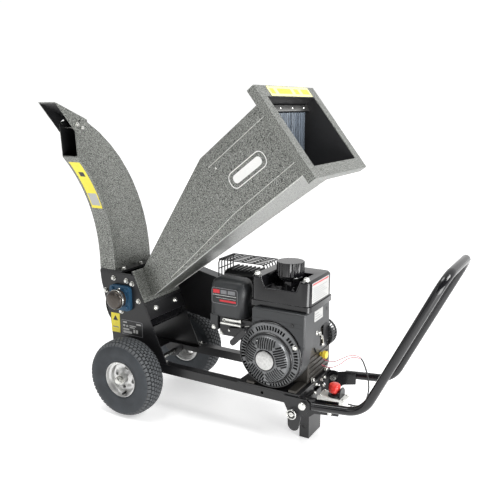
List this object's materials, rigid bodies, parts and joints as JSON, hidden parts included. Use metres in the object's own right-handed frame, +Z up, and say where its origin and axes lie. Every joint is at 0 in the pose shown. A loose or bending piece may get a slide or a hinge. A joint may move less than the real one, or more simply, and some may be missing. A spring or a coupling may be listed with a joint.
{
  "type": "wood chipper",
  "caption": "Wheeled wood chipper: a tall feed hopper and curved discharge chute on a belt-driven rotor housing, with a petrol engine and a tow handle.",
  "frame": {"origin": "middle of the footprint, on the ground under the wheels and the front foot", "axes": "+X from the wheels to the tow handle, +Y to the belt side, away from the recoil starter, +Z up"},
  "size_m": [1.198, 0.5806, 1.077],
  "materials": {
    "black_paint": "black powder coat",
    "hammer_grey": "grey hammertone enamel",
    "zinc": "zinc plate",
    "bright_steel": "bare turned steel",
    "tyre_rubber": "dull moulded rubber",
    "rim_silver": "silver paint",
    "bearing_blue": "dark blue enamel on a casting",
    "satin_dark_grey": "satin dark grey",
    "gloss_black": "gloss black",
    "cast_aluminium": "rough casting",
    "black_plastic": "satin black",
    "red_plastic": "smooth red",
    "white_plastic": "off-white",
    "yellow_plastic": "smooth yellow",
    "curtain_pvc": "smoky translucent strip",
    "pink_wire": "pink insulation"
  },
  "bodies": {
    "body": {"rail_right": "black_paint", "rail_left": "black_paint", "front_cross_member": "black_paint", "housing_base_plate": "black_paint", "engine_plate": "black_paint", "front_foot": "black_paint", "housing_side_right": "black_paint", "housing_side_left": "black_paint", "housing_shell": "black_paint", "throat_frame": "black_paint", "housing_top_plate": "black_paint", "belt_guard_back_plate": "black_paint", "muffler": "black_paint", "muffler_guard": "black_paint", "handle_bracket_right": "black_paint", "handle_bracket_left": "black_paint", "hopper_flange": "hammer_grey", "feed_hopper": "hammer_grey", "hopper_mouth_rim": "hammer_grey", "discharge_chute": "hammer_grey", "hood_pivot_bolt": "zinc", "handle_pivot_bolt_right": "zinc", "handle_pivot_bolt_left": "zinc", "axle": "bright_steel", "anvil_block": "bright_steel", "bearing_unit_right": "bearing_blue", "bearing_unit_left": "bearing_blue", "belt_guard_cover": "satin_dark_grey", "blower_shroud": "satin_dark_grey", "recoil_cover": "satin_dark_grey", "air_cleaner_cover": "satin_dark_grey", "engine_side_cover": "satin_dark_grey", "fuel_tank": "gloss_black", "crankcase": "cast_aluminium", "cylinder": "cast_aluminium", "carburettor": "cast_aluminium", "drive_belt": "black_plastic", "stop_cable": "black_plastic", "stop_switch_box": "white_plastic", "oil_filler_cap": "yellow_plastic", "ignition_lead_upper": "pink_wire", "ignition_lead_lower": "pink_wire"},
    "wheel_right": {"tyre_right": "tyre_rubber", "rim_right": "rim_silver"},
    "wheel_left": {"tyre_left": "tyre_rubber", "rim_left": "rim_silver"},
    "rotor": {"rotor_shaft": "bright_steel", "rotor_drum": "black_paint", "rotor_pulley": "bright_steel"},
    "crank": {"crankshaft": "bright_steel", "clutch_pulley": "bright_steel"},
    "handle": {"tow_handle": "black_paint"},
    "lock_pin": {"handle_lock_pin": "zinc"},
    "hood": {"deflector_hood": "hammer_grey"},
    "curtain": {"feed_curtain": "curtain_pvc"},
    "starter": {"starter_grip": "black_plastic"},
    "cap": {"fuel_cap": "black_plastic"},
    "choke": {"choke_lever": "zinc"},
    "throttle": {"throttle_lever": "black_plastic"},
    "button": {"stop_button": "red_plastic"}
  },
  "joints": [
    {"name": "wheel_right_spin", "type": "hinge", "parent": "body", "child": "wheel_right", "pos_m": [-0.43443, -0.12875, 0.1325], "axis": [0, 1, 0], "continuous": true},
    {"name": "wheel_left_spin", "type": "hinge", "parent": "body", "child": "wheel_left", "pos_m": [-0.43443, 0.23825, 0.1325], "axis": [0, 1, 0], "continuous": true},
    {"name": "rotor_spin", "type": "hinge", "parent": "body", "child": "rotor", "pos_m": [-0.49543, 0.05475, 0.384], "axis": [0, 1, 0], "continuous": true},
    {"name": "crank_spin", "type": "hinge", "parent": "body", "child": "crank", "pos_m": [0.07057, 0.05475, 0.275], "axis": [0, 1, 0], "continuous": true},
    {"name": "handle_fold", "type": "hinge", "parent": "body", "child": "handle", "pos_m": [0.18957, 0.05475, 0.149], "axis": [0, -1, 0], "range_deg": [0, 30]},
    {"name": "lock_pin_pull", "type": "slide", "parent": "body", "child": "lock_pin", "axis": [0, -1, 0], "range_m": [0, 0.012], "stiffness_N_per_m": 400, "springref_m": -0.01},
    {"name": "hood_tilt", "type": "hinge", "parent": "body", "child": "hood", "pos_m": [-0.55693, -0.18725, 0.955], "axis": [1, 0, 0], "range_deg": [0, 45]},
    {"name": "curtain_swing", "type": "hinge", "parent": "body", "child": "curtain", "pos_m": [0.06401, 0.05975, 1.00115], "axis": [0, 1, 0], "range_deg": [-35, 45]},
    {"name": "starter_pull", "type": "slide", "parent": "body", "child": "starter", "axis": [-0.866, 0, 0.5], "range_m": [0, 0.055], "stiffness_N_per_m": 60, "springref_m": -0.06},
    {"name": "fuel_cap_turn", "type": "hinge", "parent": "body", "child": "cap", "pos_m": [0.10057, 0.01775, 0.5218], "axis": [0, 0, 1], "range_deg": [0, 90]},
    {"name": "choke_move", "type": "hinge", "parent": "body", "child": "choke", "pos_m": [-0.10943, -0.02425, 0.354], "axis": [0, 1, 0], "range_deg": [0, 20]},
    {"name": "throttle_move", "type": "hinge", "parent": "body", "child": "throttle", "pos_m": [-0.08943, -0.02425, 0.325], "axis": [0, -1, 0], "range_deg": [-25, 20]},
    {"name": "stop_button_push", "type": "slide", "parent": "body", "child": "button", "axis": [0, 0, -1], "range_m": [0, 0.005], "stiffness_N_per_m": 600, "springref_m": -0.002}
  ],
  "couplings": [
    {"joint": "crank_spin", "follows": "rotor_spin", "ratio": 1.7297}
  ]
}
